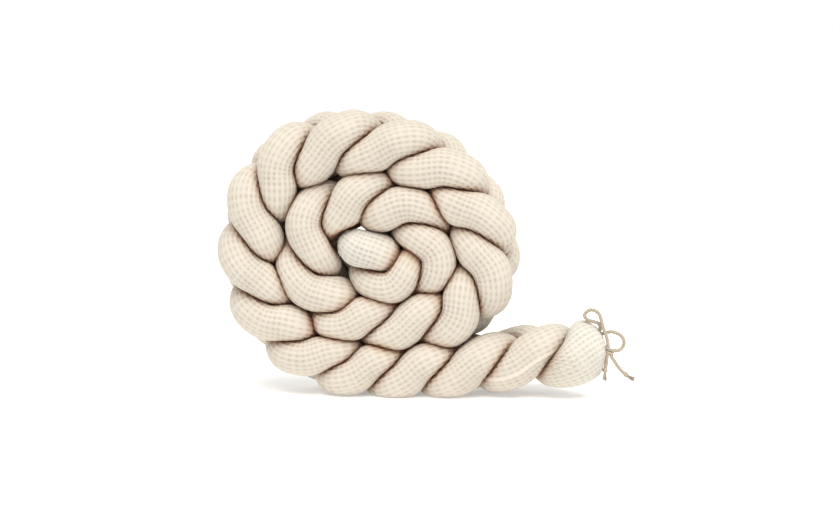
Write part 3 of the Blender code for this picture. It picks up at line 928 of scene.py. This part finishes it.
def fray_tree(material):
    """Loose fibres from a small round root: their number, length, spread and thickness are inputs."""
    tree, given, result = node_group("loose fibres", (
        ("Fibres", "NodeSocketInt", 64),
        ("Length", "NodeSocketFloat", 12.5 * MM),
        ("Spread", "NodeSocketFloat", 0.16),
        ("Thickness", "NodeSocketFloat", 0.42 * MM),
        ("Seed", "NodeSocketInt", 1),
    ))
    seed, spread, length = given.outputs["Seed"], given.outputs["Spread"], given.outputs["Length"]
    root = add_node(tree, "FunctionNodeRandomValue", {
        "Min": (-1.5 * MM, -1.5 * MM, -5 * MM), "Max": (1.5 * MM, 1.5 * MM, 1.5 * MM), "Seed": seed,
    }, data_type="FLOAT_VECTOR")
    points = add_node(tree, "GeometryNodePoints", {"Count": given.outputs["Fibres"], "Position": root})
    fibre = add_node(tree, "GeometryNodeCurvePrimitiveBezierSegment", {
        "Resolution": 6, "Start": (0, 0, 0), "Start Handle": (0.0, 0.0, 0.4),
        "End Handle": (0.04, 0.0, 0.7), "End": (0.14, 0.0, 1.0),
    })
    rounded = add_node(tree, "GeometryNodeCurvePrimitiveCircle", {
        "Resolution": 5, "Radius": given.outputs["Thickness"],
    })
    lengths = add_node(tree, "ShaderNodeCombineXYZ", (length, length, length))
    sized = add_node(tree, "GeometryNodeTransform", {"Geometry": fibre, "Scale": lengths})
    solid = add_node(tree, "GeometryNodeCurveToMesh", {
        "Curve": sized, "Profile Curve": rounded, "Fill Caps": True,
    })
    tilt = add_node(tree, "FunctionNodeRandomValue", {
        "Min": (-1, -1, -math.pi), "Max": (1, 1, math.pi), "Seed": seed,
    }, data_type="FLOAT_VECTOR")
    spreads = add_node(tree, "ShaderNodeCombineXYZ", (spread, spread, 1.0))
    lean = add_node(tree, "ShaderNodeVectorMath", (tilt, spreads), operation="MULTIPLY")
    size = add_node(tree, "FunctionNodeRandomValue", {2: 0.65, 3: 1.1, "Seed": seed}, data_type="FLOAT")
    placed = add_node(tree, "GeometryNodeInstanceOnPoints", {
        "Points": points, "Instance": solid, "Rotation": lean, "Scale": size.outputs[1],
    })
    real = add_node(tree, "GeometryNodeRealizeInstances", {"Geometry": placed})
    dressed = add_node(tree, "GeometryNodeSetMaterial", {"Geometry": real, "Material": material})
    tree.links.new(dressed.outputs[0], result.inputs[0])
    return tree

def grown(name, tree, values, transform=None, seed=((), ())):
    """The plain mesh that a geometry tree makes of seed corners and edges, with its named inputs set."""
    seed_mesh = bpy.data.meshes.new(name + " seed")
    seed_mesh.from_pydata(seed[0], seed[1], [])
    holder = bpy.data.objects.new(name + " holder", seed_mesh)
    bpy.context.scene.collection.objects.link(holder)
    modifier = holder.modifiers.new("grow", "NODES")
    modifier.node_group = tree
    identifiers = {s.name: s.identifier for s in tree.interface.items_tree if s.in_out == "INPUT"}
    for label, value in values.items():
        modifier[identifiers[label]] = value
    depsgraph = bpy.context.evaluated_depsgraph_get()
    mesh = bpy.data.meshes.new_from_object(holder.evaluated_get(depsgraph))
    bpy.data.objects.remove(holder)
    mesh.name = name
    if transform is not None:
        mesh.transform(transform)
    mesh.shade_smooth()
    return mesh


def make_fray(name, top, way, cord, seed):
    tree = fray_tree(cord)
    turned = Vector(way).to_track_quat("Z", "X").to_matrix().to_4x4()
    turned.translation = Vector(top + way * (STOPPER_DEPTH + 2.5 * MM))
    mesh = grown(name, tree, {"Seed": seed}, turned)
    mesh.uv_layers.new(name="weave")
    return add_piece(name, mesh, cord)


# ---------------------------------------------------------------- stitches


def front_of(trees, x, z):
    """The frontmost point of the strands straight behind a spot, both in metres."""
    hits = [tree.ray_cast(Vector((x, -0.4, z)), Vector((0, 1, 0)))[0] for tree in trees]
    return min((hit for hit in hits if hit is not None), key=lambda hit: hit.y, default=None)


def stitch_tree(material):
    """Round thread along every edge: thickness and sides are inputs."""
    tree, given, result = node_group("sewn thread", (
        ("Thickness", "NodeSocketFloat", THREAD_RADIUS),
        ("Sides", "NodeSocketInt", 7),
    ))
    path = add_node(tree, "GeometryNodeMeshToCurve", {"Mesh": given.outputs["Geometry"]})
    profile = add_node(tree, "GeometryNodeCurvePrimitiveCircle", {
        "Resolution": given.outputs["Sides"], "Radius": given.outputs["Thickness"],
    })
    solid = add_node(tree, "GeometryNodeCurveToMesh", {
        "Curve": path, "Profile Curve": profile, "Fill Caps": True,
    })
    real = add_node(tree, "GeometryNodeRealizeInstances", {"Geometry": solid})
    dressed = add_node(tree, "GeometryNodeSetMaterial", {"Geometry": real, "Material": material})
    tree.links.new(dressed.outputs[0], result.inputs[0])
    return tree


def make_stitches(strands, thread):
    """Ladder stitches that pull two neighbouring tubes together across a crease."""
    trees = [
        BVHTree.FromPolygons([v.co for v in p.data.vertices], [f.vertices for f in p.data.polygons])
        for p in strands
    ]
    corners, edges = [], []
    for start, end, count in LADDERS:
        start, end = in_frame((start[0], 0, start[1])), in_frame((end[0], 0, end[1]))
        way = unit(end - start)
        across = np.array((way[2], 0, -way[0]))
        for k in range(count):
            lean = STITCH_LEAN * math.sin(2.3 * k) * STITCH_LENGTH * way
            middle = start + (end - start) * (k + 0.5) / count
            feet = []
            for side in (-1, 1):
                foot = middle + side * across * STITCH_LENGTH / 2 + side * lean
                feet.append(front_of(trees, foot[0], foot[2]))
            if None in feet:
                continue
            first, last = feet
            top = (first + last) / 2 + Vector((0, -THREAD_RADIUS, 0))
            below = Vector((0, 1.2 * MM, 0))
            row = [first + below, first.lerp(top, 0.6), top, last.lerp(top, 0.6), last + below]
            edges += [(len(corners) + j, len(corners) + j + 1) for j in range(4)]
            corners += [tuple(p) for p in row]
    mesh = grown("ladder_stitches", stitch_tree(thread), {}, seed=(corners, edges))
    piece = add_piece("ladder_stitches", mesh, thread)
    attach(piece, "root")


# ---------------------------------------------------------------- stage


def make_stage(board):
    half = 14.0  # metres, well past what any view takes in
    corners = [(-half, -half, 0), (half, -half, 0), (half, half, 0), (-half, half, 0)]
    mesh = bpy.data.meshes.new("studio_floor")
    mesh.from_pydata(corners, [], [(0, 1, 2, 3)])
    floor = add_piece("studio_floor", mesh, board)


def make_camera():
    azimuth, elevation = math.radians(CAMERA_AZIMUTH), math.radians(CAMERA_ELEVATION)
    level = math.cos(elevation)
    back = Vector((math.sin(azimuth) * level, -math.cos(azimuth) * level, math.sin(elevation)))
    data = bpy.data.cameras.new("camera")
    camera = bpy.data.objects.new("camera", data)
    bpy.context.scene.collection.objects.link(camera)
    camera.location = Vector(CAMERA_AIM) + back * CAMERA_DISTANCE
    camera.rotation_mode = "QUATERNION"
    camera.rotation_quaternion = (-back).to_track_quat("-Z", "Y")
    data.sensor_width = SENSOR
    data.lens = SENSOR * CAMERA_DISTANCE / FRAME_WIDTH
    data.clip_end = 100
    bpy.context.scene.camera = camera


def sun_light(name, azimuth, elevation, strength, softness, colour="#FFFFFF"):
    """Parallel light from a compass angle (0 is in front, 90 on the right) and a height, in degrees."""
    data = bpy.data.lights.new(name, "SUN")
    data.energy = strength
    data.angle = math.radians(softness)
    data.color = linear(colour)[:3]
    light = bpy.data.objects.new(name, data)
    bpy.context.scene.collection.objects.link(light)
    a, e = math.radians(azimuth), math.radians(elevation)
    toward = Vector((math.sin(a) * math.cos(e), -math.cos(a) * math.cos(e), math.sin(e)))
    light.rotation_mode = "QUATERNION"
    light.rotation_quaternion = toward.to_track_quat("Z", "Y")


def make_light():
    """White walls all round, a dimmer ceiling, and a broad soft key from high in front."""
    world = bpy.data.worlds.new("white studio")
    bpy.context.scene.world = world
    world.use_nodes = True
    tree = world.node_tree
    background = tree.nodes["Background"]
    direction = add_node(tree, "ShaderNodeTexCoord").outputs["Generated"]
    height = add_node(tree, "ShaderNodeSeparateXYZ", (direction,)).outputs[2]
    walls = add_node(tree, "ShaderNodeMapRange", {
        "Value": height, "From Min": WALL_TOP[0], "From Max": WALL_TOP[1],
        "To Min": WALL_LIGHT, "To Max": CEILING_LIGHT,
    }, interpolation_type="SMOOTHSTEP")
    background.inputs["Color"].default_value = linear("#FFFFFF")
    tree.links.new(walls.outputs[0], background.inputs["Strength"])
    sun_light("key", azimuth=16, elevation=62, strength=KEY_LIGHT, softness=55, colour="#FFFBF4")
    sun_light("back fill", azimuth=205, elevation=30, strength=BACK_LIGHT, softness=60)
    bpy.context.scene.view_settings.view_transform = "Standard"


def main():
    make_camera()
    cord = twisted_cotton()
    make_tie(cord)
    strands = make_strands(waffle_cotton())
    make_stitches(strands, sewing_thread())
    make_stage(studio_floor())
    make_light()


main()
